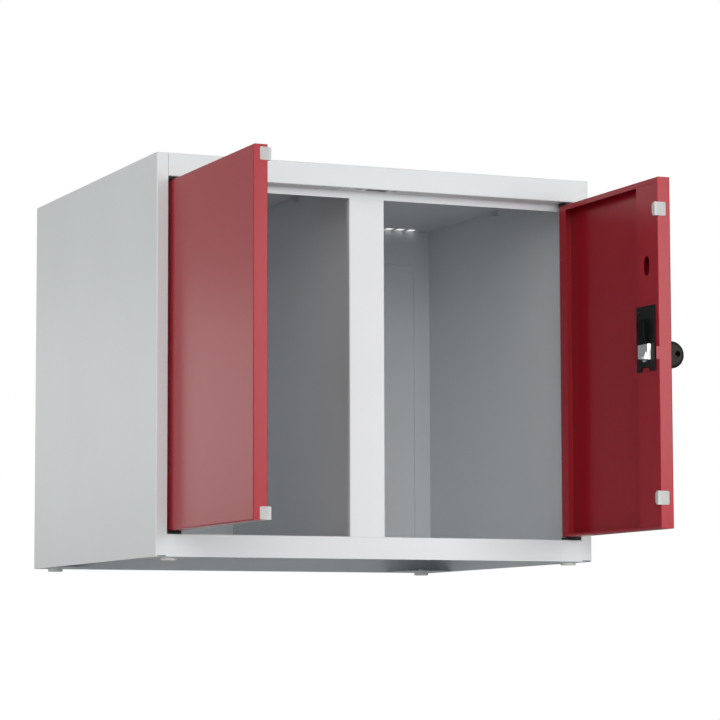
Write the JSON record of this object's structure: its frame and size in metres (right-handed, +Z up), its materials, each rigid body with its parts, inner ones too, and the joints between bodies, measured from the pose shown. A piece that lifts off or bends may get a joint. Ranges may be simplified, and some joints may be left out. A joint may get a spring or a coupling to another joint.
{
  "type": "stacking cabinet",
  "caption": "Low sheet-steel stacking cabinet with a divided interior, hinged doors that close on a centre post, low glides and a turning padlock latch on the right-hand door.",
  "frame": {"origin": "on the floor plane under the four glides, at the centre of the body's footprint; the base bolt pattern is centred on it, 4 mm up at the body's lower edge", "axes": "+Z up, the front with the doors faces -Y, +X to the right as seen from the front"},
  "size_m": [0.614, 0.7806, 0.504],
  "materials": {
    "body_paint": "fine satin powder coat, light grey",
    "door_paint": "fine satin powder coat, ruby red",
    "black_plastic": "moulded black",
    "pale_plastic": "moulded pale grey",
    "zinc_steel": "zinc plated",
    "black_steel": "black",
    "latch_chrome": "bright plated"
  },
  "bodies": {
    "carcass": {"left_side_panel": "body_paint", "right_side_panel": "body_paint", "top_panel": "body_paint", "bottom_panel": "body_paint", "back_panel": "body_paint", "centre_post": "body_paint", "centre_partition": "body_paint", "corner_gussets": "body_paint", "glide_feet": "pale_plastic", "wall_hook_tabs": "body_paint", "left_pivot_bushes": "black_plastic", "right_pivot_bushes": "black_plastic"},
    "left_door": {"left_door_shell": "door_paint", "left_door_buffers": "pale_plastic", "left_door_pins": "zinc_steel", "left_pin_brackets": "door_paint"},
    "right_door": {"right_door_shell": "door_paint", "right_door_buffers": "pale_plastic", "right_door_pins": "zinc_steel", "right_pin_brackets": "door_paint", "lock_inner_plate": "black_plastic", "lock_plate_rivets": "black_plastic", "lock_housing": "black_plastic"},
    "lock": {"lock_knob": "black_plastic", "lock_spindle": "zinc_steel", "latch_tongue": "black_steel", "latch_hub": "latch_chrome"}
  },
  "joints": [
    {"name": "left_door_hinge", "type": "hinge", "parent": "carcass", "child": "left_door", "pos_m": [-0.276, -0.241, 0.254], "axis": [0, 0, 1], "range_deg": [-15, 90]},
    {"name": "right_door_hinge", "type": "hinge", "parent": "carcass", "child": "right_door", "pos_m": [0.276, -0.241, 0.254], "axis": [0, 0, -1], "range_deg": [-15, 90]},
    {"name": "lock_turn", "type": "hinge", "parent": "right_door", "child": "lock", "pos_m": [0.2815, -0.4685, 0.254], "axis": [1, 0, 0], "range_deg": [0, 90]}
  ]
}
